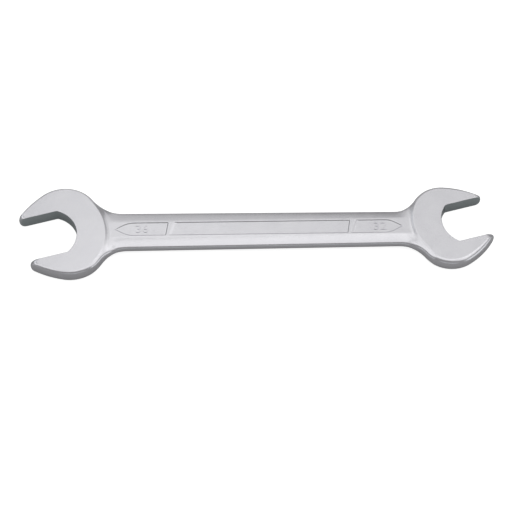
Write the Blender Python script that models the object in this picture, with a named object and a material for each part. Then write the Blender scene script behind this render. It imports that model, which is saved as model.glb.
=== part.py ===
"""Double open end wrench, forged in one piece.

Lengths are metres. X runs along the shank, Z is up, and the lower faces
of the two heads lie on the ground at Z zero. The body is the same above
and below its middle plane. Each head is drawn in its own plan axes:
out through the jaw, and across it.
"""
import math

import bpy
from mathutils import Vector
from mathutils.geometry import delaunay_2d_cdt

# Whole body
HEAD_THICK = 0.0108
HEAD_SPACING = 0.2711
JAW_TURN = math.radians(15)

# Large head
LARGE_JAW = 0.036
LARGE_THROAT_DEPTH = 0.0102
LARGE_FLAT_START = 0.0059
LARGE_SIDE_OUT = 0.0022
LARGE_SIDE_ACROSS = 0.0114
LARGE_SIDE_RADIUS = 0.0257
LARGE_NOSE_RADIUS = 0.076
LARGE_NOSE_TURN = math.radians(25)
LARGE_TIP_RADIUS = 0.0017
LARGE_BACK_OUT = 0.0306
LARGE_FACE_INSET = 0.0005
LARGE_FAR_FILLET = 0.029
LARGE_NEAR_FILLET = 0.0215

# Small head
SMALL_JAW = 0.032
SMALL_THROAT_DEPTH = 0.0074
SMALL_FLAT_START = 0.0056
SMALL_SIDE_OUT = 0.0011
SMALL_SIDE_ACROSS = 0.0100
SMALL_SIDE_RADIUS = 0.0229
SMALL_NOSE_RADIUS = 0.060
SMALL_NOSE_TURN = math.radians(19)
SMALL_TIP_RADIUS = 0.0012
SMALL_BACK_OUT = 0.0297
SMALL_FACE_INSET = 0.0015
SMALL_FAR_FILLET = 0.0171
SMALL_NEAR_FILLET = 0.0239

# Rounded edges
HEAD_EDGE = 0.0018
NOSE_END_EDGE = 0.0009
JAW_EDGE = 0.0004
SHANK_EDGE = 0.0012

# Shank section
SHANK_HALF_LARGE = 0.0148
SHANK_HALF_SMALL = 0.0132
STEP_DROP = 0.00085
STEP_RUN = 0.0032
FLANK_DROP = 0.00155
FLANK_BEND = 1.4

# Recessed panels
PANEL_HALF = 0.00505
PANEL_DEPTH = 0.0005
PANEL_WALL_RUN = 0.0005
PANEL_CORNER = 0.0008
LAND_RIM = 0.0011
LARGE_POINT_GAP = 0.0042
LARGE_POINT_LENGTH = 0.0137
LARGE_PANEL_LENGTH = 0.0382
SMALL_POINT_GAP = 0.0059
SMALL_POINT_LENGTH = 0.0114
SMALL_PANEL_LENGTH = 0.0368
BAR_HALF_WIDTH = 0.0015
BAR_LEAN = 0.0015

# Raised size figures
FIGURE_CLEAR = 0.00125
FIGURE_RISE = 0.0003
FIGURE_SINK = 0.0002
LARGE_FIGURE_GAP = 0.0186
SMALL_FIGURE_GAP = 0.0177
FONT_FIGURE_SHARE = 0.7

# Mesh fineness
SIDE_TURN = math.radians(5)
BACK_TURN = math.radians(2.5)
NOSE_TURN = math.radians(3)
TIP_TURN = math.radians(24)
THROAT_TURN = math.radians(6)
FILLET_TURN = math.radians(6)
POINT_TURN = math.radians(8)
SMOOTH_TURN = math.radians(25)
ROUND_STEPS = 3
SHANK_STEPS = 12
FIGURE_STEPS = 2
FLANK_ROW_SHARES = (0.0, 0.35, 0.7)
CLEAR_MARGIN = 0.0004
SAME_PLACE = 0.00001

# Worked out
MIDDLE_Z = HEAD_THICK / 2
LAND_HEIGHT = MIDDLE_Z - STEP_DROP
FLANK_EDGE_HEIGHT = LAND_HEIGHT - FLANK_DROP
LAND_HALF = PANEL_HALF + LAND_RIM
FIGURE_HEIGHT = 2 * (PANEL_HALF - PANEL_WALL_RUN - FIGURE_CLEAR)


def turn_of(way):
    return math.atan2(way.y, way.x)


def way_of(turn):
    return Vector((math.cos(turn), math.sin(turn)))


def blend(first, last, share):
    return first + (last - first) * share


def short_turn(start, end):
    """End angle moved by whole turns to lie nearest the start."""
    while end - start > math.pi:
        end -= 2 * math.pi
    while start - end > math.pi:
        end += 2 * math.pi
    return end


def along_arc(centre, radius, start, end, step):
    """Points on an arc, each with its direction from the centre."""
    count = max(1, math.ceil(abs(end - start) / step))
    ways = [way_of(blend(start, end, index / count)) for index in range(count + 1)]
    return [(centre + way * radius, way) for way in ways]


class Head:
    """One open jaw, with its plan sizes and its place on the shank."""

    def __init__(self, side):
        large = side < 0
        self.side = side
        self.centre = Vector((side * HEAD_SPACING / 2, 0.0))
        self.out = way_of(JAW_TURN) * side
        self.across = Vector((-self.out.y, self.out.x))
        self.half = (LARGE_JAW if large else SMALL_JAW) / 2
        self.flat_start = LARGE_FLAT_START if large else SMALL_FLAT_START
        self.side_out = LARGE_SIDE_OUT if large else SMALL_SIDE_OUT
        self.side_across = LARGE_SIDE_ACROSS if large else SMALL_SIDE_ACROSS
        self.side_radius = LARGE_SIDE_RADIUS if large else SMALL_SIDE_RADIUS
        self.nose_radius = LARGE_NOSE_RADIUS if large else SMALL_NOSE_RADIUS
        self.nose_turn = LARGE_NOSE_TURN if large else SMALL_NOSE_TURN
        self.tip_radius = LARGE_TIP_RADIUS if large else SMALL_TIP_RADIUS
        self.back_out = LARGE_BACK_OUT if large else SMALL_BACK_OUT
        self.far_fillet = LARGE_FAR_FILLET if large else SMALL_FAR_FILLET
        self.near_fillet = LARGE_NEAR_FILLET if large else SMALL_NEAR_FILLET
        depth = LARGE_THROAT_DEPTH if large else SMALL_THROAT_DEPTH
        inset = LARGE_FACE_INSET if large else SMALL_FACE_INSET
        self.throat_radius = (self.half ** 2 + depth ** 2) / (2 * depth)
        self.throat_out = self.flat_start + self.throat_radius - depth
        self.face_radius = self.side_radius - inset
        gap = math.hypot(self.back_out - self.side_out, self.side_across)
        self.back_radius = gap + self.face_radius
        self.back_turn = math.atan2(self.side_across, self.back_out - self.side_out)

    def place(self, out, across):
        return self.centre + self.out * out + self.across * across

    def face_gap(self, point):
        """Distance of a plan point behind the raised face, negative on it."""
        reach = point - self.centre
        out = reach.dot(self.out)
        across = reach.dot(self.across)
        if out > self.side_out:
            return -self.face_radius
        if abs(math.atan2(across, self.back_out - out)) < self.back_turn:
            return math.hypot(self.back_out - out, across) - self.back_radius
        gap = math.hypot(out - self.side_out, abs(across) - self.side_across)
        return gap - self.face_radius

    def step_foot_x(self):
        """Where the foot of the step behind the face crosses the shank's middle."""
        back = self.place(self.back_out, 0.0)
        reach = self.back_radius + STEP_RUN
        return back.x - self.side * math.sqrt(reach ** 2 - back.y ** 2)


LARGE = Head(-1)
SMALL = Head(1)


class Fillet:
    """Hollow arc between one edge of the shank and the side of a head."""

    def __init__(self, head, far):
        start = Vector((LARGE.centre.x, far * SHANK_HALF_LARGE))
        end = Vector((SMALL.centre.x, far * SHANK_HALF_SMALL))
        along = (end - start).normalized()
        away = Vector((-along.y, along.x)) * far
        self.radius = head.far_fillet if far > 0 else head.near_fillet
        self.mirror = far * head.side
        self.ball = head.place(head.side_out, self.mirror * head.side_across)
        base = start + away * self.radius
        reach = self.ball - base
        middle = reach.dot(along)
        spread = (head.side_radius + self.radius) ** 2 - (reach - along * middle).length_squared
        self.centre = base + along * (middle - head.side * math.sqrt(spread))
        self.shank_touch = self.centre - away * self.radius
        self.head_touch = self.ball + (self.centre - self.ball).normalized() * head.side_radius


FILLETS = {(head, far): Fillet(head, far) for head in (LARGE, SMALL) for far in (1, -1)}


def half_head(head, mirror):
    """Edge of half a head, from its fillet round the tip to the throat.

    Each station is a plan point, its outward direction and its edge radius.
    """
    fillet = FILLETS[(head, mirror * head.side)]
    stations = []

    def add_arc(arc, first_edge, last_edge, outward=1):
        """Stations on an arc given in the head's own axes."""
        for index, (point, way) in enumerate(arc):
            spot = head.place(point.x, point.y * mirror)
            away = (head.out * way.x + head.across * (way.y * mirror)) * outward
            edge = blend(first_edge, last_edge, index / max(1, len(arc) - 1))
            stations.append((spot, away, edge))

    # Hollow arc beside the shank, in plan
    first = turn_of(fillet.shank_touch - fillet.centre)
    last = short_turn(first, turn_of(fillet.head_touch - fillet.centre))
    hollow = along_arc(fillet.centre, fillet.radius, first, last, FILLET_TURN)
    for index, (point, way) in enumerate(hollow[:-1]):
        edge = blend(SHANK_EDGE, HEAD_EDGE, index / (len(hollow) - 1))
        stations.append((point, -way, edge))

    # Side
    ball = Vector((head.side_out, head.side_across))
    touch = fillet.head_touch - head.centre
    local_touch = Vector((touch.dot(head.out), touch.dot(head.across) * mirror))
    first = turn_of(local_touch - ball) % (2 * math.pi)
    nose_start = math.pi / 2 - head.nose_turn
    arc = along_arc(ball, head.side_radius, first, nose_start, SIDE_TURN)
    add_arc(arc, HEAD_EDGE, HEAD_EDGE)

    # Nose and tip
    nose = ball - way_of(nose_start) * (head.nose_radius - head.side_radius)
    reach = head.nose_radius - head.tip_radius
    tip_across = head.half + head.tip_radius
    tip_out = nose.x + math.sqrt(reach ** 2 - (tip_across - nose.y) ** 2)
    tip = Vector((tip_out, tip_across))
    nose_end = turn_of(tip - nose)
    arc = along_arc(nose, head.nose_radius, nose_start, nose_end, NOSE_TURN)
    add_arc(arc[1:-1], HEAD_EDGE, NOSE_END_EDGE)
    arc = along_arc(tip, head.tip_radius, nose_end, -math.pi / 2, TIP_TURN)
    add_arc(arc, NOSE_END_EDGE, JAW_EDGE)

    # Corner where the jaw flat meets the throat
    throat = Vector((head.throat_out, 0.0))
    corner = Vector((head.flat_start, head.half))
    flat_way = Vector((0.0, -1.0))
    throat_way = (throat - corner).normalized()
    mitre = (flat_way + throat_way) / (1 + flat_way.dot(throat_way))
    add_arc([(corner, mitre)], JAW_EDGE, JAW_EDGE)

    # Throat
    first = turn_of(corner - throat)
    arc = along_arc(throat, head.throat_radius, first, math.pi, THROAT_TURN)
    add_arc(arc[1:], JAW_EDGE, JAW_EDGE, -1)
    return stations


def shank_edge(start, end):
    """Straight edge between two fillets, with the shank on its left."""
    along = (end - start).normalized()
    away = Vector((along.y, -along.x))
    spots = [start.lerp(end, index / SHANK_STEPS) for index in range(1, SHANK_STEPS)]
    return [(spot, away, SHANK_EDGE) for spot in spots]


def body_stations():
    """Closed edge of the body, anticlockwise seen from above."""
    loop = shank_edge(FILLETS[(LARGE, -1)].shank_touch, FILLETS[(SMALL, -1)].shank_touch)
    loop += half_head(SMALL, -1)
    loop += half_head(SMALL, 1)[-2::-1]
    loop += shank_edge(FILLETS[(SMALL, 1)].shank_touch, FILLETS[(LARGE, 1)].shank_touch)
    loop += half_head(LARGE, -1)
    loop += half_head(LARGE, 1)[-2::-1]
    return loop


def local_half_width(x, far):
    """Half width of the shank on one side, hollow arcs included."""
    for head in (LARGE, SMALL):
        fillet = FILLETS[(head, far)]
        if (x - fillet.shank_touch.x) * head.side > 0:
            past_head = (x - fillet.head_touch.x) * head.side > 0
            held = fillet.head_touch.x if past_head else x
            drop = math.sqrt(fillet.radius ** 2 - (held - fillet.centre.x) ** 2)
            return abs(fillet.centre.y) - drop
    share = (x - LARGE.centre.x) / HEAD_SPACING
    return blend(SHANK_HALF_LARGE, SHANK_HALF_SMALL, share)


def shank_height(point):
    """Height of the shank's upper surface over the middle plane."""
    reach = abs(point.y) - LAND_HALF
    if reach <= 0:
        return LAND_HEIGHT
    far = 1 if point.y > 0 else -1
    span = local_half_width(point.x, far) - SHANK_EDGE - LAND_HALF
    return LAND_HEIGHT - FLANK_DROP * min(1.0, reach / span) ** FLANK_BEND


def behind_faces(point):
    """Distance behind the nearer of the two raised faces."""
    return min(LARGE.face_gap(point), SMALL.face_gap(point))


def top_height(point):
    """Height of the body's upper surface over the middle plane."""
    gap = behind_faces(point)
    if gap <= 0:
        return MIDDLE_Z
    return blend(MIDDLE_Z, shank_height(point), min(1.0, gap / STEP_RUN))


def well_inside(point, loop):
    """True where a plan point lies inside a loop and clear of its edges."""
    inside = False
    for index, a in enumerate(loop):
        b = loop[index - 1]
        if (a.y > point.y) != (b.y > point.y):
            cut = a.x + (b.x - a.x) * (point.y - a.y) / (b.y - a.y)
            if point.x < cut:
                inside = not inside
        span = b - a
        share = max(0.0, min(1.0, (point - a).dot(span) / span.length_squared))
        if (point - a - span * share).length < CLEAR_MARGIN:
            return False
    return inside


def step_line(head, offset, loop):
    """Plan curve behind a raised face, at an offset from the face's edge."""
    ball = Vector((head.side_out, head.side_across))
    back = Vector((head.back_out, 0.0))
    join = math.pi - head.back_turn
    side = along_arc(ball, head.face_radius + offset, math.pi / 2, join, SIDE_TURN)
    rear = along_arc(back, head.back_radius + offset, join, math.pi, BACK_TURN)
    half = [point for point, _ in side + rear[1:]]
    curve = [head.place(point.x, point.y) for point in half]
    curve += [head.place(point.x, -point.y) for point in half[-2::-1]]
    return [point for point in curve if well_inside(point, loop)]


def inset(loop, distance):
    """Closed plan loop, anticlockwise, moved inward."""
    found = []
    for index, point in enumerate(loop):
        before = (point - loop[index - 1]).normalized()
        after = (loop[(index + 1) % len(loop)] - point).normalized()
        in_before = Vector((-before.y, before.x))
        in_after = Vector((-after.y, after.x))
        mitre = (in_before + in_after) / (1 + in_before.dot(in_after))
        found.append(point + mitre * distance)
    return found


def bar_end(x, way):
    """End of a panel beside a leaning bar, anticlockwise, with eased corners."""
    edge = x + way * BAR_HALF_WIDTH
    top = Vector((edge + BAR_LEAN, PANEL_HALF))
    foot = Vector((edge - BAR_LEAN, -PANEL_HALF))
    leaning = (top - foot).normalized()
    inward = Vector((way, 0.0))
    found = []
    for corner, upright in ((top, -leaning), (foot, leaning)):
        half = inward.angle(upright) / 2
        cut = PANEL_CORNER / math.tan(half)
        middle = corner + (inward + upright).normalized() * (PANEL_CORNER / math.sin(half))
        first = turn_of(corner + inward * cut - middle)
        last = short_turn(first, turn_of(corner + upright * cut - middle))
        arc = [point for point, _ in along_arc(middle, PANEL_CORNER, first, last, TIP_TURN)]
        found += arc if corner is top else arc[::-1]
    return found if way > 0 else found[::-1]


def pointed_end(tip_x, length, way):
    """Pointed end of a panel, anticlockwise, that opens the given way."""
    radius = (length ** 2 + PANEL_HALF ** 2) / (2 * PANEL_HALF)
    sweep = math.asin(length / radius)
    upper = Vector((tip_x + way * length, PANEL_HALF - radius))
    first = math.pi / 2
    arc = along_arc(upper, radius, first, first + way * sweep, POINT_TURN)
    half = [point for point, _ in arc]
    found = half + [Vector((point.x, -point.y)) for point in half[-2::-1]]
    return found if way > 0 else found[::-1]


LARGE_TIP_X = LARGE.step_foot_x() + LARGE_POINT_GAP
SMALL_TIP_X = SMALL.step_foot_x() - SMALL_POINT_GAP
LARGE_BAR_X = LARGE_TIP_X + LARGE_PANEL_LENGTH
SMALL_BAR_X = SMALL_TIP_X - SMALL_PANEL_LENGTH


def panels():
    """Edge loops of the three recessed panels, anticlockwise."""
    large_point = pointed_end(LARGE_TIP_X, LARGE_POINT_LENGTH, 1)
    small_point = pointed_end(SMALL_TIP_X, SMALL_POINT_LENGTH, -1)
    return [
        large_point + bar_end(LARGE_BAR_X, -1),
        bar_end(LARGE_BAR_X, 1) + bar_end(SMALL_BAR_X, -1),
        bar_end(SMALL_BAR_X, 1) + small_point,
    ]


class Plan:
    """Points and fixed edges for the plan triangulation of a face."""

    def __init__(self):
        self.points = []
        self.edges = []
        self.drops = []

    def add_line(self, points, closed, drop=0.0):
        first = len(self.points)
        self.points += points
        self.drops += [drop] * len(points)
        last = len(self.points) - 1
        self.edges += [(index, index + 1) for index in range(first, last)]
        if closed:
            self.edges.append((last, first))


def flank_rows(ring):
    """Lines along the shank that carry its rounded flanks."""
    count = SHANK_STEPS * 2
    places = [blend(LARGE.centre.x, SMALL.centre.x, index / count) for index in range(count)]
    rows = []
    for far in (1, -1):
        for share in FLANK_ROW_SHARES:
            row = []
            for x in places:
                edge = local_half_width(x, far) - SHANK_EDGE
                point = Vector((x, far * blend(LAND_HALF, edge, share)))
                clear = behind_faces(point) > STEP_RUN + CLEAR_MARGIN
                if clear and well_inside(point, ring):
                    row.append(point)
            rows.append(row)
    return rows


def face_plan(ring):
    """Everything that shapes a face inside its rounded edge."""
    plan = Plan()
    plan.add_line(ring, True)
    for head in (LARGE, SMALL):
        plan.add_line(step_line(head, 0.0, ring), False)
        plan.add_line(step_line(head, STEP_RUN, ring), False)
    for loop in panels():
        plan.add_line(loop, True)
        plan.add_line(inset(loop, PANEL_WALL_RUN), True, PANEL_DEPTH)
    for row in flank_rows(ring):
        plan.add_line(row, False)
    return plan


class Shell:
    """Closed skin of the body about its middle plane."""

    def __init__(self):
        self.verts = []
        self.faces = []
        self.stations = body_stations()
        self.ring = [point - way * edge for point, way, edge in self.stations]
        self.heights = [top_height(point) for point in self.ring]
        upper = self.rounded_rows(1)
        lower = self.rounded_rows(-1)
        self.join_rows(lower[::-1] + upper)
        self.add_face(upper[-1], 1)
        self.add_face(lower[-1], -1)

    def rounded_rows(self, up):
        """Rows of corners from the side wall over the rounded edge."""
        rows = []
        for step in range(ROUND_STEPS + 1):
            turn = math.pi / 2 * step / ROUND_STEPS
            rows.append(len(self.verts))
            for (point, way, edge), height in zip(self.stations, self.heights):
                spot = point - way * (edge * (1 - math.cos(turn)))
                rise = height - edge * (1 - math.sin(turn))
                self.verts.append((spot.x, spot.y, up * rise))
        return rows

    def join_rows(self, rows):
        count = len(self.stations)
        for low, high in zip(rows, rows[1:]):
            for index in range(count):
                after = (index + 1) % count
                self.faces.append((low + index, low + after, high + after, high + index))

    def add_face(self, ring_row, up):
        """Upper or lower face, filled in to the ring of its rounded edge."""
        plan = face_plan(self.ring)
        count = len(self.ring)
        result = delaunay_2d_cdt(plan.points, plan.edges, [], 1, SAME_PLACE)
        spots, triangles, origins = result[0], result[2], result[3]
        names = []
        for spot, origin in zip(spots, origins):
            on_ring = [index for index in origin if index < count]
            if on_ring:
                names.append(ring_row + on_ring[0])
                continue
            rise = top_height(spot) - max([plan.drops[index] for index in origin] or [0.0])
            names.append(len(self.verts))
            self.verts.append((spot.x, spot.y, up * rise))
        for triangle in triangles:
            face = tuple(names[index] for index in triangle)
            self.faces.append(face if up > 0 else face[::-1])


def make_material():
    """Satin chrome plate."""
    material = bpy.data.materials.new("satin_chrome")
    material.use_nodes = True
    shader = material.node_tree.nodes["Principled BSDF"]
    shader.inputs["Base Color"].default_value = (0.72, 0.73, 0.75, 1.0)
    shader.inputs["Metallic"].default_value = 1.0
    shader.inputs["Roughness"].default_value = 0.3
    return material


def make_body():
    """The forged body, with its lower faces on the ground."""
    shell = Shell()
    mesh = bpy.data.meshes.new("wrench_body")
    mesh.from_pydata(shell.verts, [], shell.faces)
    mesh.shade_smooth()
    mesh.set_sharp_from_angle(angle=SMOOTH_TURN)
    mesh.materials.append(make_material())
    body = bpy.data.objects.new("wrench_body", mesh)
    bpy.context.scene.collection.objects.link(body)
    x_values = [vert[0] for vert in shell.verts]
    y_values = [vert[1] for vert in shell.verts]
    middle_x = (min(x_values) + max(x_values)) / 2
    middle_y = (min(y_values) + max(y_values)) / 2
    body.location = (-middle_x, -middle_y, MIDDLE_Z)
    return body


def make_figures(body, text, x, up):
    """Size figures that stand on a panel floor, as a solid to join on."""
    curve = bpy.data.curves.new("figures", "FONT")
    curve.body = text
    curve.size = FIGURE_HEIGHT / FONT_FIGURE_SHARE
    curve.align_x = "CENTER"
    curve.align_y = "CENTER"
    curve.resolution_u = FIGURE_STEPS
    curve.extrude = (FIGURE_RISE + FIGURE_SINK) / 2
    lettering = bpy.data.objects.new("figures", curve)
    solid = bpy.data.objects.new("figures_" + text, bpy.data.meshes.new_from_object(lettering))
    bpy.data.objects.remove(lettering)
    bpy.context.scene.collection.objects.link(solid)
    middle = LAND_HEIGHT - PANEL_DEPTH + (FIGURE_RISE - FIGURE_SINK) / 2
    solid.location = (x, 0.0, up * middle)
    solid.rotation_euler = (0.0 if up > 0 else math.pi, 0.0, 0.0)
    solid.parent = body
    solid.hide_render = True
    solid.display_type = "WIRE"
    return solid


def main():
    for old in list(bpy.data.objects):
        bpy.data.objects.remove(old)
    body = make_body()
    large_x = LARGE_TIP_X + LARGE_FIGURE_GAP
    small_x = SMALL_TIP_X - SMALL_FIGURE_GAP
    for text, x in (("36", large_x), ("32", small_x)):
        for up in (1, -1):
            joined = body.modifiers.new("figures", "BOOLEAN")
            joined.operation = "UNION"
            joined.solver = "EXACT"
            joined.object = make_figures(body, text, x, up)


main()
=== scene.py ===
import math

import bpy
import numpy as np
from mathutils import Matrix, Vector, kdtree
from mathutils.geometry import delaunay_2d_cdt


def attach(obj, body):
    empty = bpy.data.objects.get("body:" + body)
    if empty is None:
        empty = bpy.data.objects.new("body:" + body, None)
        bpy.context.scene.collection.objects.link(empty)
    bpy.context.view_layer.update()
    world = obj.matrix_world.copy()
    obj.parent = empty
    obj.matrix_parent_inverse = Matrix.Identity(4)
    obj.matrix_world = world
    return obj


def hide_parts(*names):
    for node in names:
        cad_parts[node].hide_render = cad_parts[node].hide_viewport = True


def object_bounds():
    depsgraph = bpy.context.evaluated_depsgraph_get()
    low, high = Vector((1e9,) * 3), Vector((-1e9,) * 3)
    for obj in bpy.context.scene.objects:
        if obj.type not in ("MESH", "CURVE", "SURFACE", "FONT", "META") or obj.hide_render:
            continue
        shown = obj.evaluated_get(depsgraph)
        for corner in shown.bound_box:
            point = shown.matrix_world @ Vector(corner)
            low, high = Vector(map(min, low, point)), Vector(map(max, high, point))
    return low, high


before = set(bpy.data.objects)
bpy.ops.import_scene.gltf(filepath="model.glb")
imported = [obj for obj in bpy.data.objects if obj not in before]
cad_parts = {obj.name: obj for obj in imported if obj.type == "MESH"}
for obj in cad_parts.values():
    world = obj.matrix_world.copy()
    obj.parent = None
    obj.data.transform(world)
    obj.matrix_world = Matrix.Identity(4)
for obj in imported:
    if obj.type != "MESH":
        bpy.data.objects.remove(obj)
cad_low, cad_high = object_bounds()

MM = 0.001

# Sizes of the body
HEAD_THICK = 10.8 * MM
HEAD_SPACING = 271.1 * MM
JAW_TURN = math.radians(15)
TIP_GROW = 1.1 * MM
NOSE_RUN = 30.0 * MM
NOSE_GAIN = 0.55
JAW_EDGE = 0.4 * MM
SHANK_EDGE = 2.0 * MM
WALL_LEAN = math.radians(8)
ROUND_LIMIT = 0.88
CORNER_RADIUS = 2.0 * MM
SHANK_HALF_LARGE = 15.35 * MM
SHANK_HALF_SMALL = 13.75 * MM
STEP_DROP = 0.85 * MM
STEP_RUN = 3.6 * MM
STEP_HASTE = 1.7
STEP_ROUND = 0.12
NEAR_SETBACK = 2.0 * MM
FAR_SETBACK = 0.7 * MM
SETBACK_SPREAD = math.radians(24)
FLANK_DROP = 1.55 * MM
FLANK_BEND = 1.4
FLANK_PAST = 1.3
FLANK_RUN = 9.0 * MM
NECK_FALL = 0.9 * MM
NECK_REACH = 7.0 * MM
NECK_EDGE = 3.6 * MM
NECK_EDGE_RISE = 0.7
NECK_EDGE_FADE = 7.0 * MM
HOLLOW_RISE = 0.8
HOLLOW_END = 1.1
HOLLOW_FADE = 0.5
PANEL_HALF = 5.7 * MM
PANEL_DEPTH = 0.55 * MM
PANEL_WALL_RUN = 0.8 * MM
PANEL_EASE = 0.25
PANEL_CORNER = 0.8 * MM
LAND_RIM = 0.6 * MM
POINT_TURN = math.radians(30)
LARGE_POINT_GAP = 2.8 * MM
LARGE_POINT_LENGTH = 14.5 * MM
LARGE_PANEL_LENGTH = 39.6 * MM
SMALL_POINT_GAP = 4.4 * MM
SMALL_POINT_LENGTH = 13.4 * MM
SMALL_PANEL_LENGTH = 38.3 * MM
BAR_HALF_WIDTH = 1.0 * MM
BAR_LEFT_LEAN = 0.9 * MM
BAR_RIGHT_LEAN = 1.9 * MM
BAR_SLOPE_RUN = 3.0 * MM
LARGE_FIGURE_GAP = 20.1 * MM
SMALL_FIGURE_GAP = 17.1 * MM
FIGURE_HEIGHT = 6.3 * MM
FIGURE_WIDEN = 1.12
FIGURE_RISE = 0.4 * MM
FIGURE_SINK = 0.12 * MM
FIGURE_EDGE = 0.07 * MM
FONT_FIGURE_SHARE = 0.7

MIDDLE_Z = HEAD_THICK / 2
LAND_HEIGHT = MIDDLE_Z - STEP_DROP
LAND_HALF = PANEL_HALF + LAND_RIM

# Fineness of the mesh
SPACING = 0.8 * MM
ARC_STEP = math.radians(9)
NOSE_POINTS = 40
TIP_POINTS = 9
FLAT_POINTS = 20
SHANK_SPACING = 1.6 * MM
LOOP_SPACING = 1.4 * MM
GRID = 1.1 * MM
GRID_ROW_SHARE = 0.87
GRID_ACROSS = 30 * MM
KEEP_OFF = 0.45 * MM
RING_GAP = 0.1 * MM
WALL_ROWS = 4
ROUND_ROWS = 8
STEP_OFFSETS = [place * MM for place in
                (-0.8, -0.4, -0.1, 0.2, 0.5, 0.8, 1.15, 1.5, 1.9, 2.4, 2.9, 3.4, 3.9)]
PANEL_ROWS = 5
SLOPE_ROWS = 5
FIGURE_CURVE_STEPS = 8
FIGURE_EDGE_STEPS = 2
RADIUS_TRIES = 5
RING_TRIES = 4
SAME_PLACE = 0.00001
PROBE = 0.00001
FAR_OFF = 1.0


def way(turn):
    """Plan vector of length 1 at a turn."""
    return complex(math.cos(turn), math.sin(turn))


def phase(number):
    """Turn of a plan vector."""
    return math.atan2(number.imag, number.real)


def near_turn(start, end):
    """End angle moved by whole turns to lie nearest the start."""
    return end - 2 * math.pi * round((end - start) / (2 * math.pi))


def arc(centre, radius, start, end, spacing=SPACING):
    """Points on an arc, and their directions from its centre."""
    sweep = abs(end - start)
    count = max(1, math.ceil(sweep * radius / spacing), math.ceil(sweep / ARC_STEP))
    ways = np.exp(1j * np.linspace(start, end, count + 1))
    return centre + ways * radius, ways


def line(start, end, spacing):
    """Even points on a straight line, both ends included."""
    count = max(1, math.ceil(abs(end - start) / spacing))
    return start + (end - start) * np.linspace(0.0, 1.0, count + 1)


def smooth(share):
    """Rise from 0 to 1 with level ends."""
    share = np.clip(share, 0.0, 1.0)
    return share * share * (3.0 - 2.0 * share)


class Head:
    """One open jaw. Its own plan axes run out through the jaw and across it."""

    def __init__(self, side, jaw, throat_depth, flat_start, ball, far_side, near_side, far_nose,
                 near_nose, nose_turn, far_tip, near_tip, far_edge, near_edge, back_out,
                 face_radius, foot, far_fillet, near_fillet):
        self.side = side
        self.centre = complex(side * HEAD_SPACING / 2, 0.0)
        self.out = way(JAW_TURN) * side
        self.half = jaw / 2
        self.ball = ball
        self.side_radius = {1: far_side, -1: near_side}
        self.nose_radius = {1: far_nose, -1: near_nose}
        self.nose_start = math.pi / 2 - nose_turn
        self.tip_radius = {1: far_tip, -1: near_tip}
        self.edge = {1: far_edge, -1: near_edge}
        self.back_out = back_out
        self.foot = foot
        self.face_radius = face_radius
        self.throat_radius = (self.half ** 2 + throat_depth ** 2) / (2 * throat_depth)
        self.throat_out = flat_start + self.throat_radius - throat_depth
        across = self.half - CORNER_RADIUS
        reach = math.sqrt((self.throat_radius - CORNER_RADIUS) ** 2 - across ** 2)
        self.corner = complex(self.throat_out - reach, across)
        self.back_radius = abs(back_out - ball) + self.face_radius
        self.back_turn = math.atan2(ball.imag, back_out - ball.real)
        self.hollows = {far: self.hollow(far, fillet)
                        for far, fillet in ((1, far_fillet), (-1, near_fillet))}
        self.necks = {far: phase((self.centre - self.hollows[far]["head"]) / self.out)
                      for far in (1, -1)}

    def place(self, local):
        return self.centre + self.out * local

    def hollow(self, far, radius):
        """Hollow arc between one edge of the shank and the side of the head."""
        start = complex(-HEAD_SPACING / 2, far * SHANK_HALF_LARGE)
        end = complex(HEAD_SPACING / 2, far * SHANK_HALF_SMALL)
        along = (end - start) / abs(end - start)
        away = along * 1j * far
        ball = self.place(complex(self.ball.real, self.ball.imag * far * self.side))
        reach = (ball - start - away * radius) * along.conjugate()
        spread = math.sqrt((self.side_radius[far] + radius) ** 2 - reach.imag ** 2)
        centre = start + away * radius + along * (reach.real - self.side * spread)
        head_touch = ball + (centre - ball) / abs(centre - ball) * self.side_radius[far]
        return {"centre": centre, "radius": radius, "head": head_touch,
                "shank": centre - away * radius}

    def face_gap(self, points):
        """Distance of plan points behind the raised face, negative on it."""
        local = (points - self.centre) / self.out
        from_back = self.back_out - local
        rear = np.abs(from_back) - self.back_radius
        flank = np.abs(local.real + 1j * np.abs(local.imag) - self.ball) - self.face_radius
        behind = np.abs(np.angle(from_back)) < self.back_turn
        return np.where(local.real > self.ball.real, -self.face_radius,
                        np.where(behind, rear, flank)) + self.setback(local)

    def setback(self, local):
        """How far the face draws back from the outline beside the two necks."""
        turns = np.angle(-local)
        return sum(size * np.exp(-((turns - self.necks[far]) / SETBACK_SPREAD) ** 2)
                   for far, size in ((1, FAR_SETBACK), (-1, NEAR_SETBACK)))

    def step_curve(self, offset):
        """Plan curve behind the raised face, at an offset from the face's edge."""
        join = math.pi - self.back_turn
        flank, flank_ways = arc(self.ball, self.face_radius + offset, math.pi / 2, join)
        rear, rear_ways = arc(self.back_out, self.back_radius + offset, join, math.pi)
        half = np.concatenate([flank, rear[1:]])
        ways = np.concatenate([flank_ways, rear_ways[1:]])
        whole = np.concatenate([half, half.conj()[-2::-1]])
        ways = np.concatenate([ways, ways.conj()[-2::-1]])
        return self.place(whole - ways * self.setback(whole))

    def near_hollow(self, points):
        """Distance inside the near hollow arc, and how well within its sweep."""
        hollow = self.hollows[-1]
        reach = points - hollow["centre"]
        first = phase(hollow["shank"] - hollow["centre"])
        last = near_turn(first, phase(hollow["head"] - hollow["centre"]))
        share = np.angle(reach / way(first)) / (last - first)
        within = smooth(share / HOLLOW_RISE) * smooth((HOLLOW_END - share) / HOLLOW_FADE)
        return np.abs(reach) - hollow["radius"], within

    def step_foot_x(self):
        """Where the foot of the step crosses the middle of the shank."""
        back = self.place(self.back_out)
        reach = self.back_radius + self.foot
        return back.real - self.side * math.sqrt(reach ** 2 - back.imag ** 2)


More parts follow.
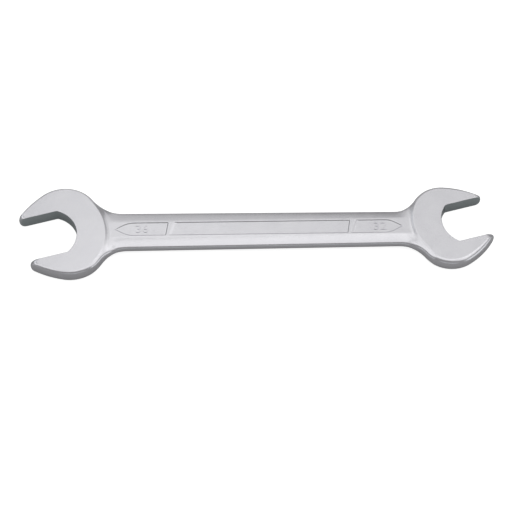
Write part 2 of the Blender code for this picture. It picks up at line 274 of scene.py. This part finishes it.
LARGE = Head(
    side=-1, jaw=36 * MM, throat_depth=10.2 * MM, flat_start=5.9 * MM,
    ball=complex(2.2, 11.4) * MM, far_side=25.7 * MM, near_side=26.2 * MM, far_nose=76 * MM,
    near_nose=69.6 * MM, nose_turn=math.radians(25), far_tip=1.7 * MM, near_tip=1.7 * MM,
    far_edge=1.8 * MM, near_edge=3.0 * MM, back_out=30.6 * MM, face_radius=24.7 * MM,
    foot=3.7 * MM, far_fillet=29 * MM, near_fillet=21.5 * MM)
SMALL = Head(
    side=1, jaw=32 * MM, throat_depth=7.4 * MM, flat_start=5.6 * MM,
    ball=complex(1.1, 10.0) * MM, far_side=23.3 * MM, near_side=23.7 * MM, far_nose=60.7 * MM,
    near_nose=54.9 * MM, nose_turn=math.radians(19), far_tip=0.5 * MM, near_tip=1.2 * MM,
    far_edge=2.4 * MM, near_edge=3.8 * MM, back_out=29.7 * MM, face_radius=21.4 * MM,
    foot=3.2 * MM, far_fillet=17.1 * MM, near_fillet=23.9 * MM)


def tip_slice(head, far, tip_radius, outer, inner):
    """Nose, tip and jaw flat of half a head, with its outer side and its jaw
    side moved in. Plan points in the head's axes, outward ways and jaw shares.
    The nose gives back part of the outer move on its run to the tip.
    """
    radius = 1 / (1 / (head.nose_radius[far] - outer) - 2 * outer * NOSE_GAIN / NOSE_RUN ** 2)
    nose = head.ball - way(head.nose_start) * (radius + outer - head.side_radius[far])
    tip_across = head.half + inner + tip_radius
    reach = radius - tip_radius
    tip = complex(nose.real + math.sqrt(reach ** 2 - (tip_across - nose.imag) ** 2), tip_across)
    nose_end = phase(tip - nose)
    turns = np.linspace(head.nose_start, nose_end, NOSE_POINTS)[1:]
    round_turns = np.linspace(nose_end, -math.pi / 2, TIP_POINTS)[1:]
    flat = np.linspace(tip.real, head.corner.real, FLAT_POINTS)[1:]
    points = np.concatenate([nose + np.exp(1j * turns) * radius,
                             tip + np.exp(1j * round_turns) * tip_radius,
                             flat + 1j * (head.half + inner)])
    ways = np.concatenate([np.exp(1j * turns), np.exp(1j * round_turns),
                           np.full(len(flat), -1j)])
    jaws = np.concatenate([np.zeros(len(turns)), np.linspace(0, 1, TIP_POINTS)[1:],
                           np.ones(len(flat))])
    return points, ways, jaws


def half_head(head, mirror):
    """Edge of half a head, from its hollow arc round the tip to the throat.

    Rows of plan point, outward way, edge radius, share of jaw (for its finish
    and painted shade) and, for the points that tip_slice makes, their place in it.
    """
    parts = []

    def add(points, ways, edges, jaws, places=-1):
        made = np.zeros((5, len(points)), complex)
        for row, values in enumerate((points, ways, edges, jaws, places)):
            made[row] = values
        parts.append(made)

    def add_local(points, ways, edges, jaws, places=-1):
        if mirror < 0:
            points, ways = points.conj(), ways.conj()
        add(head.place(points), head.out * ways, edges, jaws, places)

    # Hollow arc beside the shank
    far = mirror * head.side
    hollow = head.hollows[far]
    first = phase(hollow["shank"] - hollow["centre"])
    last = near_turn(first, phase(hollow["head"] - hollow["centre"]))
    points, ways = arc(hollow["centre"], hollow["radius"], first, last)
    edge = head.edge[far]
    neck_edge = edge if far > 0 else NECK_EDGE
    rise = smooth(np.linspace(0.0, 1.0, len(points)) / NECK_EDGE_RISE)
    add(points[1:], -ways[1:], (SHANK_EDGE + (neck_edge - SHANK_EDGE) * rise)[1:], 0)

    # Side, nose, tip and jaw flat
    touch = (hollow["head"] - head.centre) / head.out
    touch = complex(touch.real, touch.imag * mirror)
    first = phase(touch - head.ball) % (2 * math.pi)
    points, ways = arc(head.ball, head.side_radius[far], first, head.nose_start)
    fade = smooth(np.abs(np.linspace(0.0, head.nose_start - first, len(points)))
                  * head.side_radius[far] / NECK_EDGE_FADE)
    add_local(points[1:], ways[1:], (neck_edge + (edge - neck_edge) * fade)[1:], 0)
    points, ways, jaws = tip_slice(head, far, head.tip_radius[far], 0.0, 0.0)
    add_local(points, ways, np.where(jaws > 0.5, JAW_EDGE, edge), jaws,
              np.arange(len(points)))

    # Eased corner and throat
    turn = phase(head.corner - head.throat_out)
    points, ways = arc(head.corner, CORNER_RADIUS, math.pi / 2, turn)
    add_local(points[1:], -ways[1:], JAW_EDGE, 1)
    points, ways = arc(head.throat_out, head.throat_radius, turn, math.pi)
    add_local(points[1:], -ways[1:], JAW_EDGE, 1)
    return np.concatenate(parts, axis=1)


def shank_side(far):
    """Straight edge of the shank, with the shank on its left."""
    ends = [LARGE.hollows[far]["shank"], SMALL.hollows[far]["shank"]]
    if far > 0:
        ends.reverse()
    points = line(ends[0], ends[1], SHANK_SPACING)
    away = (ends[1] - ends[0]) / abs(ends[1] - ends[0]) * -1j
    count = len(points)
    return np.stack([points, np.full(count, away), np.full(count, SHANK_EDGE + 0j),
                     np.zeros(count, complex), np.full(count, -1 + 0j)])


def body_stations():
    """Closed edge of the body, anticlockwise seen from above."""
    return np.concatenate([
        shank_side(-1), half_head(SMALL, -1), half_head(SMALL, 1)[:, -2::-1],
        shank_side(1), half_head(LARGE, -1), half_head(LARGE, 1)[:, -2::-1]], axis=1)


def half_width(x, far):
    """Half width of the shank on one side, hollow arcs included."""
    share = (x + HEAD_SPACING / 2) / HEAD_SPACING
    width = SHANK_HALF_LARGE + (SHANK_HALF_SMALL - SHANK_HALF_LARGE) * share
    for head in (LARGE, SMALL):
        hollow = head.hollows[far]
        bounds = sorted((hollow["shank"].real, hollow["head"].real))
        held = np.clip(x, *bounds)
        drop = np.sqrt(hollow["radius"] ** 2 - (held - hollow["centre"].real) ** 2)
        past = (x - hollow["shank"].real) * head.side > 0
        width = np.where(past, abs(hollow["centre"].imag) - drop, width)
    return width


def eased(share, ease):
    """Rise from 0 to 1 at an even slope, with rounded ends."""
    share = np.clip(share, 0.0, 1.0)
    slope = 1.0 / (1.0 - ease)
    foot = share ** 2 / (2 * ease) * slope
    head = 1.0 - (1.0 - share) ** 2 / (2 * ease) * slope
    even = (share - ease / 2) * slope
    return np.where(share < ease, foot, np.where(share > 1 - ease, head, even))


def step_share(share):
    """Fall of the step behind a face: fast at first, then fading out."""
    def total(reach):
        held = np.clip(reach, 0.0, 1.0)
        power = STEP_HASTE + 1
        return held - (1 - (1 - held) ** power) / power + np.maximum(reach - 1, 0.0)
    return (total(share + STEP_ROUND) - total(share - STEP_ROUND)) / (2 * STEP_ROUND)


def flank_fall(points):
    """Fall of the shank's rounded flanks under its flat land."""
    reach = np.abs(points.imag) - LAND_HALF
    width = np.where(points.imag > 0, half_width(points.real, 1), half_width(points.real, -1))
    share = np.clip(reach / (width - SHANK_EDGE - LAND_HALF), 0.0, FLANK_PAST)
    fall = FLANK_DROP * share ** FLANK_BEND
    for head in (LARGE, SMALL):
        reach, within = head.near_hollow(points)
        share = np.clip(1 - reach / NECK_REACH, 0.0, 1.0)
        fall = fall + NECK_FALL * within * share ** 2
    return fall


def bar_end(x, toward):
    """End of a panel beside a leaning bar, anticlockwise, with eased corners."""
    edge = x + toward * BAR_HALF_WIDTH
    lean = BAR_RIGHT_LEAN if toward > 0 else BAR_LEFT_LEAN
    top = complex(edge + lean, PANEL_HALF)
    foot = complex(edge - lean, -PANEL_HALF)
    leaning = (top - foot) / abs(top - foot)
    found = []
    for corner, upright in ((top, -leaning), (foot, leaning)):
        half = abs(phase(upright / toward)) / 2
        inward = (toward + upright) / abs(toward + upright)
        middle = corner + inward * (PANEL_CORNER / math.sin(half))
        cut = PANEL_CORNER / math.tan(half)
        first = phase(corner + toward * cut - middle)
        last = near_turn(first, phase(corner + upright * cut - middle))
        points, _ = arc(middle, PANEL_CORNER, first, last)
        found.append(points if corner == top else points[::-1])
    found = np.concatenate(found)
    return found if toward > 0 else found[::-1]


def pointed_end(tip_x, length, toward):
    """Pointed end of a panel, anticlockwise, that opens the given way."""
    radius = (length - PANEL_HALF / math.tan(POINT_TURN)) / math.tan(POINT_TURN / 2)
    centre = complex(tip_x + toward * length, PANEL_HALF - radius)
    half, _ = arc(centre, radius, math.pi / 2, math.pi / 2 + toward * POINT_TURN)
    half = np.append(half, tip_x)
    found = np.concatenate([half, half.conj()[-2::-1]])
    return found if toward > 0 else found[::-1]


LARGE_TIP_X = LARGE.step_foot_x() + LARGE_POINT_GAP
SMALL_TIP_X = SMALL.step_foot_x() - SMALL_POINT_GAP
LARGE_BAR_X = LARGE_TIP_X + LARGE_PANEL_LENGTH
SMALL_BAR_X = SMALL_TIP_X - SMALL_PANEL_LENGTH
# The tips as body_stations meets them: head, half, and the way its points run
TIP_ORDER = ((SMALL, -1, 1), (SMALL, 1, -1), (LARGE, -1, 1), (LARGE, 1, -1))
PANELS = [
    np.concatenate([pointed_end(LARGE_TIP_X, LARGE_POINT_LENGTH, 1), bar_end(LARGE_BAR_X, -1)]),
    np.concatenate([bar_end(LARGE_BAR_X, 1), bar_end(SMALL_BAR_X, -1)]),
    np.concatenate([bar_end(SMALL_BAR_X, 1), pointed_end(SMALL_TIP_X, SMALL_POINT_LENGTH, -1)]),
]


def inside_depth(points, loop):
    """Distance of plan points from a closed loop, positive inside it."""
    nearest = np.full(len(points), FAR_OFF)
    inside = np.zeros(len(points), bool)
    for a, b in zip(loop, np.roll(loop, -1)):
        span = b - a
        share = np.clip(((points - a) / span).real, 0.0, 1.0)
        nearest = np.minimum(nearest, np.abs(points - a - span * share))
        crosses = (a.imag > points.imag) != (b.imag > points.imag)
        if a.imag != b.imag:
            cut = a.real + span.real * (points.imag - a.imag) / span.imag
            inside ^= crosses & (points.real < cut)
    return np.where(inside, nearest, -nearest)


def bar_side(x):
    """Foot of the right side of a leaning bar, and the way it leans."""
    leaning = complex(2 * BAR_RIGHT_LEAN, 2 * PANEL_HALF)
    return complex(x + BAR_HALF_WIDTH - BAR_RIGHT_LEAN, -PANEL_HALF), leaning / abs(leaning)


def past_bar(points, x):
    """Distance of plan points past the right side of a leaning bar."""
    foot, leaning = bar_side(x)
    return -((points - foot) / leaning).imag


def behind_faces(points):
    """Distance of plan points behind the nearer raised face."""
    return np.minimum(LARGE.face_gap(points), SMALL.face_gap(points))


def top_height(points):
    """Height of the body's upper surface."""
    points = np.atleast_1d(np.asarray(points, complex))
    gap = behind_faces(points)
    height = (MIDDLE_Z - STEP_DROP * step_share(gap / STEP_RUN)
              - flank_fall(points) * smooth(gap / FLANK_RUN))
    near = (np.abs(points.imag) < PANEL_HALF) & (gap > 0)
    if near.any():
        sunk = np.zeros(near.sum())
        for loop, bar_x in zip(PANELS, (None, LARGE_BAR_X, SMALL_BAR_X)):
            share = inside_depth(points[near], loop) / PANEL_WALL_RUN
            if bar_x is not None:
                share = np.minimum(share, past_bar(points[near], bar_x) / BAR_SLOPE_RUN)
            sunk += eased(share, PANEL_EASE)
        height[near] -= sunk * PANEL_DEPTH
    return height


def top_normals(points):
    """Normals of the upper surface."""
    slope_x = (top_height(points + PROBE) - top_height(points - PROBE)) / (2 * PROBE)
    slope_y = (top_height(points + 1j * PROBE) - top_height(points - 1j * PROBE)) / (2 * PROBE)
    found = np.stack([-slope_x, -slope_y, np.ones(len(slope_x))], axis=1)
    return found / np.linalg.norm(found, axis=1)[:, None]


def moved_in(loop, distance):
    """Closed plan loop, anticlockwise, moved inward."""
    before = loop - np.roll(loop, 1)
    after = np.roll(loop, -1) - loop
    before = before / np.abs(before) * 1j
    after = after / np.abs(after) * 1j
    mitre = (before + after) / (1 + (before * after.conj()).real)
    return loop + mitre * distance


def even_loop(loop, spacing):
    """Closed loop with points added along its long edges."""
    parts = [line(a, b, spacing)[:-1] for a, b in zip(loop, np.roll(loop, -1))]
    return np.concatenate(parts)


def edge_profile(edges, heights, tilts):
    """Rows over the wall and the rounded edge, as insets and heights.

    The wall is slightly crowned. The round ends at the tilt of the face, and
    takes most of the height where the edge asks for more.
    """
    lean = WALL_LEAN
    crown = edges * 0.0
    for _ in range(RADIUS_TRIES):
        radius = np.minimum((edges - crown) / math.cos(lean),
                            ROUND_LIMIT * heights / np.cos(tilts))
        middle = heights - radius * np.cos(tilts)
        wall_top = middle + radius * math.sin(lean)
        crown = wall_top * math.tan(lean) / 2
    shares = np.arange(WALL_ROWS) / WALL_ROWS
    rows = [(crown * share ** 2, wall_top * share) for share in shares]
    for step in range(ROUND_ROWS + 1):
        turn = lean + (math.pi / 2 - tilts - lean) * step / ROUND_ROWS
        rows.append((crown + radius * (np.cos(lean) - np.cos(turn)),
                     middle + radius * np.sin(turn)))
    return rows


def edge_rows(stations):
    """Plan points and heights of each row, from the middle plane to the face."""
    spots, ways, edges, jaws, places = stations
    edges = edges.real
    ring = spots - ways * edges
    tilts = edges * 0.0
    for _ in range(RING_TRIES):
        rows = edge_profile(edges, top_height(ring), tilts)
        ring = spots - ways * rows[-1][0]
        fall = (top_height(ring - ways * PROBE) - top_height(ring + ways * PROBE)) / (2 * PROBE)
        tilts = np.arctan(np.clip(fall, 0.0, 1.0))
    whole = {(head, far): edge_profile(np.array(head.edge[far]), np.array(MIDDLE_Z), np.array(0.0))
             for head in (LARGE, SMALL) for far in (1, -1)}
    on_jaw = jaws.real == 1.0
    starts = np.flatnonzero(places.real == 0)
    length = int(places.real.max()) + 1
    made = []
    for row, (inset, height) in enumerate(rows):
        levels = [whole[head, far][row][1] for head in (LARGE, SMALL) for far in (-1, 1)]
        level = np.select([(spots.real < 0) & (spots.imag < 0), spots.real < 0, spots.imag < 0],
                          levels[:3], levels[3])
        rise = np.maximum(0.0, level - MIDDLE_Z + JAW_EDGE)
        inner = JAW_EDGE - np.sqrt(np.maximum(0.0, JAW_EDGE ** 2 - rise ** 2))
        plan = spots - ways * np.where(on_jaw, inner, inset)
        height = np.where(on_jaw, level, height)
        for start, (head, mirror, step) in zip(starts, TIP_ORDER):
            far = mirror * head.side
            outer, tip_level = whole[head, far][row]
            lift = min(1.0, float(tip_level) / MIDDLE_Z)
            tip_radius = head.tip_radius[far] + TIP_GROW * (1 - math.sqrt(1 - lift ** 2))
            points, _, _ = tip_slice(head, far, tip_radius, float(outer), float(inner[start]))
            points = head.place(points if mirror > 0 else points.conj())
            columns = start + step * np.arange(length)
            plan[columns] = points
            height[columns] = tip_level
        made.append((plan, height))
    return made, made[-1][0]


def face_lines(ring):
    """Loose points and fixed lines that shape a face inside its ring."""
    loops = []
    for loop in PANELS:
        for step in range(PANEL_ROWS + 1):
            moved = moved_in(loop, PANEL_WALL_RUN * step / PANEL_ROWS)
            loops.append(even_loop(moved, LOOP_SPACING))
    curves = []
    for loop, bar_x in zip(PANELS[1:], (LARGE_BAR_X, SMALL_BAR_X)):
        foot, leaning = bar_side(bar_x)
        side = line(foot, foot + leaning * abs(PANEL_HALF * 2 / leaning.imag), GRID)
        for step in range(1, SLOPE_ROWS + 1):
            curve = side - leaning * 1j * BAR_SLOPE_RUN * step / SLOPE_ROWS
            curves.append(curve[inside_depth(curve, loop) > PANEL_WALL_RUN])
    for head in (LARGE, SMALL):
        for offset in STEP_OFFSETS:
            curve = head.step_curve(offset)
            curves.append(curve[inside_depth(curve, ring) > RING_GAP])
    return loops, curves


def loose_points(ring, fixed):
    """Even points over the shank and the necks, clear of every fixed line."""
    tree = kdtree.KDTree(len(fixed))
    for index, point in enumerate(fixed):
        tree.insert((point.real, point.imag, 0.0), index)
    tree.balance()
    xs = np.arange(-HEAD_SPACING / 2, HEAD_SPACING / 2, GRID)
    rows = np.arange(-GRID_ACROSS, GRID_ACROSS, GRID * GRID_ROW_SHARE)
    grid = np.array([complex(x + GRID / 2 * (index % 2), y)
                     for index, y in enumerate(rows) for x in xs])
    grid = grid[behind_faces(grid) > 0]
    grid = grid[inside_depth(grid, ring) > KEEP_OFF]
    return [point for point in grid
            if tree.find((point.real, point.imag, 0.0))[2] > KEEP_OFF]


def fill_face(ring):
    """Plan triangles of a face, with the index of each corner's ring point."""
    loops, curves = face_lines(ring)
    points = list(ring)
    edges = [(i, (i + 1) % len(ring)) for i in range(len(ring))]
    for group, closed in ((loops, True), (curves, False)):
        for curve in group:
            first = len(points)
            points.extend(curve)
            edges += [(i, i + 1) for i in range(first, len(points) - 1)]
            if closed:
                edges.append((len(points) - 1, first))
    points += loose_points(ring, points)
    flat = [Vector((p.real, p.imag)) for p in points]
    result = delaunay_2d_cdt(flat, edges, [], 1, SAME_PLACE)
    plan = np.array([complex(p.x, p.y) for p in result[0]])
    on_ring = [min([i for i in origin if i < len(ring)], default=-1) for origin in result[3]]
    return plan, result[2], on_ring


def row_normals(grid):
    """Normals of a closed band of rows, from its own corners."""
    along = np.roll(grid, -1, axis=1) - np.roll(grid, 1, axis=1)
    up = np.gradient(grid, axis=0)
    found = np.cross(along, up)
    return found / np.linalg.norm(found, axis=2)[:, :, None]


def build_body(material):
    """The forged body as one closed skin with its true normals."""
    stations = body_stations()
    count = stations.shape[1]
    rows, ring = edge_rows(stations)
    upper = np.array([np.stack([plan.real, plan.imag, height], axis=1) for plan, height in rows])
    flip = np.array([1.0, 1.0, -1.0])
    band = np.concatenate([upper[:0:-1] * flip, upper])
    normals = row_normals(band)
    jaws = np.tile(stations[3].real, (len(band), 1))
    ring_normals = top_normals(ring)
    normals[-1] = ring_normals
    normals[0] = ring_normals * flip
    verts = list(band.reshape(-1, 3))
    ways = list(normals.reshape(-1, 3))
    jaw = list(jaws.reshape(-1))
    faces = []
    for row in range(len(band) - 1):
        for i in range(count):
            j = (i + 1) % count
            low, high = row * count, (row + 1) * count
            faces.append((low + i, low + j, high + j, high + i))
    plan, triangles, on_ring = fill_face(ring)
    heights = top_height(plan)
    face_ways = top_normals(plan)
    for up, first in ((1, (len(band) - 1) * count), (-1, 0)):
        names = []
        for spot, height, normal, place in zip(plan, heights, face_ways, on_ring):
            if place >= 0:
                names.append(first + place)
                continue
            names.append(len(verts))
            verts.append(np.array([spot.real, spot.imag, up * height]))
            ways.append(normal * [1.0, 1.0, up])
            jaw.append(0.0)
        for triangle in triangles:
            face = tuple(names[i] for i in triangle)
            faces.append(face if up > 0 else face[::-1])
    verts = np.array(verts)
    middle = (verts.min(axis=0) + verts.max(axis=0)) / 2
    verts += np.array((cad_low + cad_high) / 2) - middle
    mesh = bpy.data.meshes.new("wrench_skin")
    mesh.from_pydata(verts.tolist(), [], faces)
    mesh.shade_smooth()
    mesh.normals_split_custom_set_from_vertices(np.array(ways).tolist())
    # Share of jaw, which tints the jaw walls with their own finish and painted shade
    layer = mesh.attributes.new("jaw_finish_and_shade", "FLOAT", "POINT")
    layer.data.foreach_set("value", np.array(jaw, np.float32))
    # Painted shade on upright surfaces: 1 where the normal lies flat, 0 where it points up or down
    side = 1.0 - np.abs(np.array(ways)[:, 2])
    layer = mesh.attributes.new("upright_painted_shade", "FLOAT", "POINT")
    layer.data.foreach_set("value", side.astype(np.float32))
    mesh.materials.append(material)
    body = bpy.data.objects.new("wrench_skin", mesh)
    bpy.context.scene.collection.objects.link(body)
    return body, middle


def build_figures(text, x, up, middle, material):
    """Raised size figures on a panel floor."""
    curve = bpy.data.curves.new("figures", "FONT")
    curve.body = text
    curve.size = FIGURE_HEIGHT / FONT_FIGURE_SHARE
    curve.align_x = "CENTER"
    curve.align_y = "CENTER"
    curve.resolution_u = FIGURE_CURVE_STEPS
    curve.extrude = (FIGURE_RISE + FIGURE_SINK) / 2 - FIGURE_EDGE
    curve.bevel_depth = FIGURE_EDGE
    curve.bevel_resolution = FIGURE_EDGE_STEPS
    curve.offset = -FIGURE_EDGE
    lettering = bpy.data.objects.new("figures", curve)
    mesh = bpy.data.meshes.new_from_object(lettering)
    bpy.data.objects.remove(lettering)
    height = up * (LAND_HEIGHT - PANEL_DEPTH + (FIGURE_RISE - FIGURE_SINK) / 2)
    place = (Matrix.Translation((x, 0.0, height)) @ Matrix.Diagonal((FIGURE_WIDEN, 1.0, 1.0, 1.0))
             @ Matrix.Rotation(0 if up > 0 else math.pi, 4, "X"))
    offset = (cad_low + cad_high) / 2 - Vector(middle)
    mesh.transform(Matrix.Translation(offset) @ place)
    mesh.materials.clear()
    mesh.materials.append(material)
    name = "figures_%s_%s" % (text, "top" if up > 0 else "under")
    piece = bpy.data.objects.new(name, mesh)
    bpy.context.scene.collection.objects.link(piece)
    return piece


# Materials. Noise scales are per metre.

CLOUD_SCALE = 90.0
CLOUD_DETAIL = 3.0
CLOUD_DARK = (0.62, 0.615, 0.645, 1.0)
CLOUD_LIGHT = (0.70, 0.695, 0.72, 1.0)
CLOUD_SMOOTH = 0.22
CLOUD_ROUGH = 0.28
# Jaw walls: their own greener tone, made darker with painted shade
JAW_COLOUR_AND_SHADE = (0.42, 0.46, 0.47, 1.0)
GRAIN_SCALE = 3500.0
GRAIN_DETAIL = 2.0
GRAIN_STRENGTH = 0.15
GRAIN_DEPTH = 0.00003
SWELL_SCALE = 70.0
SWELL_DETAIL = 2.0
SWELL_STRENGTH = 1.0
SWELL_DEPTH = 0.0001

# Sockets of a colour mix
MIX_SHARE, MIX_FIRST, MIX_SECOND, MIXED = 0, 6, 7, 2


def node(tree, kind, **values):
    made = tree.nodes.new(kind)
    for key, value in values.items():
        setattr(made, key, value)
    return made


def noise(tree, place, scale, detail):
    """Noise in the object's own coordinates."""
    made = node(tree, "ShaderNodeTexNoise")
    made.inputs["Scale"].default_value = scale
    made.inputs["Detail"].default_value = detail
    tree.links.new(place.outputs["Object"], made.inputs["Vector"])
    return made


def bump(tree, height, strength, depth):
    """Bump from a noise."""
    made = node(tree, "ShaderNodeBump")
    made.inputs["Strength"].default_value = strength
    made.inputs["Distance"].default_value = depth
    tree.links.new(height.outputs["Fac"], made.inputs["Height"])
    return made


def satin_chrome():
    """Satin chrome: slightly lilac and cloudy, with a fine matt grain."""
    material = bpy.data.materials.new("satin_chrome")
    material.use_nodes = True
    tree = material.node_tree
    link = tree.links.new
    shader = tree.nodes["Principled BSDF"]
    shader.inputs["Metallic"].default_value = 1.0
    place = node(tree, "ShaderNodeTexCoord")
    # Broad cloudiness of the plate, in its colour and its roughness
    cloud = noise(tree, place, CLOUD_SCALE, CLOUD_DETAIL)
    colour = node(tree, "ShaderNodeMix", data_type="RGBA")
    colour.inputs[MIX_FIRST].default_value = CLOUD_DARK
    colour.inputs[MIX_SECOND].default_value = CLOUD_LIGHT
    link(cloud.outputs["Fac"], colour.inputs[MIX_SHARE])
    rough = node(tree, "ShaderNodeMapRange")
    rough.inputs["To Min"].default_value = CLOUD_SMOOTH
    rough.inputs["To Max"].default_value = CLOUD_ROUGH
    link(cloud.outputs["Fac"], rough.inputs["Value"])
    link(rough.outputs["Result"], shader.inputs["Roughness"])
    # Darker, slightly green walls of the jaws: partly their own machined finish, partly painted
    # shade for the shadowed floor they mirror, strongest where the surface stands upright
    jaw = node(tree, "ShaderNodeAttribute", attribute_name="jaw_finish_and_shade")
    # How upright the surface is, which sets the share of painted shade
    side = node(tree, "ShaderNodeAttribute", attribute_name="upright_painted_shade")
    both = node(tree, "ShaderNodeMath", operation="MULTIPLY")
    link(jaw.outputs["Fac"], both.inputs[0])
    link(side.outputs["Fac"], both.inputs[1])
    jaw_colour_and_shade = node(tree, "ShaderNodeMix", data_type="RGBA")
    jaw_colour_and_shade.inputs[MIX_SECOND].default_value = JAW_COLOUR_AND_SHADE
    link(both.outputs["Value"], jaw_colour_and_shade.inputs[MIX_SHARE])
    link(colour.outputs[MIXED], jaw_colour_and_shade.inputs[MIX_FIRST])
    link(jaw_colour_and_shade.outputs[MIXED], shader.inputs["Base Color"])
    # Fine grain over the slight unevenness of the forging
    grain = bump(tree, noise(tree, place, GRAIN_SCALE, GRAIN_DETAIL), GRAIN_STRENGTH, GRAIN_DEPTH)
    swell = bump(tree, noise(tree, place, SWELL_SCALE, SWELL_DETAIL), SWELL_STRENGTH, SWELL_DEPTH)
    link(swell.outputs["Normal"], grain.inputs["Normal"])
    link(grain.outputs["Normal"], shader.inputs["Normal"])
    return material


# Floor

FLOOR_COLOUR = (0.46, 0.46, 0.46, 1.0)
FLOOR_REACH = 4.0
FLOOR_DROP = 0.0001
WHITE_SEEN = 0.86
WHITE_MIRRORED = 0.04


def white_floor():
    """Pale floor that shows white, and keeps the object's soft shadow."""
    material = bpy.data.materials.new("floor")
    material.use_nodes = True
    tree = material.node_tree
    link = tree.links.new
    tree.nodes.remove(tree.nodes["Principled BSDF"])
    output = tree.nodes["Material Output"]
    pale = node(tree, "ShaderNodeBsdfDiffuse")
    pale.inputs["Color"].default_value = FLOOR_COLOUR
    white = node(tree, "ShaderNodeEmission")
    rays = node(tree, "ShaderNodeLightPath")
    seen = node(tree, "ShaderNodeMath", operation="MULTIPLY")
    seen.inputs[1].default_value = WHITE_SEEN
    link(rays.outputs["Is Camera Ray"], seen.inputs[0])
    mirrored = node(tree, "ShaderNodeMath", operation="MAXIMUM")
    link(rays.outputs["Is Glossy Ray"], mirrored.inputs[0])
    link(rays.outputs["Is Transmission Ray"], mirrored.inputs[1])
    faint = node(tree, "ShaderNodeMath", operation="MULTIPLY")
    faint.inputs[1].default_value = WHITE_MIRRORED
    link(mirrored.outputs[0], faint.inputs[0])
    share = node(tree, "ShaderNodeMath", operation="MAXIMUM")
    link(seen.outputs[0], share.inputs[0])
    link(faint.outputs[0], share.inputs[1])
    link(share.outputs[0], white.inputs["Strength"])
    both = node(tree, "ShaderNodeAddShader")
    link(pale.outputs[0], both.inputs[0])
    link(white.outputs[0], both.inputs[1])
    link(both.outputs[0], output.inputs["Surface"])
    mesh = bpy.data.meshes.new("floor")
    corners = [(x * FLOOR_REACH, y * FLOOR_REACH, 0)
               for x, y in ((-1, -1), (1, -1), (1, 1), (-1, 1))]
    mesh.from_pydata(corners, [], [(0, 1, 2, 3)])
    mesh.materials.append(material)
    floor = bpy.data.objects.new("floor", mesh)
    floor.location = (0.0, 0.0, -FLOOR_DROP)
    bpy.context.scene.collection.objects.link(floor)


# Lamps and world

WORLD_LEVEL = 0.35
LAMP_FAR = 1.3
WHITE = (1.0, 1.0, 1.0)
# Name, azimuth and elevation in degrees, width, height, level, colour
LAMPS = (
    ("zenith", 180, 86, 0.7, 0.62, 0.9, WHITE),
    ("high_back", 14, 70, 1.0, 0.45, 0.82, WHITE),
    ("back", 3, 50, 0.8, 0.45, 0.54, WHITE),
    ("low_back", -5, 30, 0.6, 0.45, 0.4, WHITE),
    ("back_left", -43, 45, 0.45, 0.4, 0.75, (0.92, 0.97, 1.0)),
    ("left", -90, 59, 0.9, 0.6, 0.9, WHITE),
    ("right", 100, 57, 0.95, 0.65, 0.86, WHITE),
    ("back_right", 47, 55, 0.4, 0.35, 0.5, WHITE),
    ("low_back_right", 30, 11, 0.5, 0.3, 0.7, WHITE),
    ("middle_right", 80, 37, 0.35, 0.24, 0.4, (0.95, 0.98, 1.0)),
    ("low_right", 112, 13, 0.9, 0.55, 0.85, (0.95, 0.98, 1.0)),
    ("low_left", -115, 12, 0.7, 0.4, 0.4, (0.9, 0.95, 1.0)),
    ("front_low", 180, 16, 1.2, 0.4, 0.3, (0.92, 0.95, 1.0)),
)


def soft_box(name, azimuth, elevation, width, height, level, colour):
    """Rectangular lamp that faces the object. Level is its brightness."""
    lamp = bpy.data.lights.new(name, "AREA")
    lamp.shape = "RECTANGLE"
    lamp.size = width
    lamp.size_y = height
    lamp.energy = level * math.pi * width * height
    lamp.color = colour
    turn = math.radians(azimuth)
    rise = math.radians(elevation)
    flat = math.cos(rise)
    toward = Vector((flat * math.sin(turn), flat * math.cos(turn), math.sin(rise)))
    holder = bpy.data.objects.new(name, lamp)
    holder.location = toward * LAMP_FAR
    holder.rotation_euler = toward.to_track_quat("Z", "Y").to_euler()
    bpy.context.scene.collection.objects.link(holder)


def studio():
    """Dim even world, and every lamp."""
    world = bpy.data.worlds.new("studio")
    bpy.context.scene.world = world
    world.use_nodes = True
    back = world.node_tree.nodes["Background"]
    back.inputs["Color"].default_value = (*WHITE, 1.0)
    back.inputs["Strength"].default_value = WORLD_LEVEL
    for lamp in LAMPS:
        soft_box(*lamp)


# Camera

LENS = 140.625
SENSOR_WIDTH = 36.0
CLIP_START = 0.05
CAMERA_UP = math.radians(58.19)
CAMERA_ROLL = math.radians(-0.754)
CAMERA_FAR = 1.4376
CAMERA_TARGET = Vector((-0.001537, -0.021463, 0.0))


def add_camera(middle):
    """Long lens, high in front of the object."""
    back = Vector((0.0, -math.cos(CAMERA_UP), math.sin(CAMERA_UP)))
    right = Vector((1.0, 0.0, 0.0))
    up = back.cross(right)
    turned = right * math.cos(CAMERA_ROLL) + up * math.sin(CAMERA_ROLL)
    upright = up * math.cos(CAMERA_ROLL) - right * math.sin(CAMERA_ROLL)
    target = CAMERA_TARGET + (cad_low + cad_high) / 2 - Vector(middle)
    lens = bpy.data.cameras.new("camera")
    lens.lens = LENS
    lens.sensor_width = SENSOR_WIDTH
    lens.clip_start = CLIP_START
    camera = bpy.data.objects.new("camera", lens)
    axes = Matrix((turned, upright, back)).transposed().to_4x4()
    camera.matrix_world = Matrix.Translation(target + back * CAMERA_FAR) @ axes
    bpy.context.scene.collection.objects.link(camera)
    bpy.context.scene.camera = camera


def main():
    chrome = satin_chrome()
    skin, middle = build_body(chrome)
    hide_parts("wrench_body")
    pieces = [skin]
    large_x = LARGE_TIP_X + LARGE_FIGURE_GAP
    small_x = SMALL_TIP_X - SMALL_FIGURE_GAP
    for text, x in (("36", large_x), ("32", small_x)):
        for up in (1, -1):
            pieces.append(build_figures(text, x, up, middle, chrome))
    for piece in pieces:
        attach(piece, "root")
    white_floor()
    studio()
    add_camera(middle)
    bpy.context.scene.view_settings.view_transform = "Standard"


main()
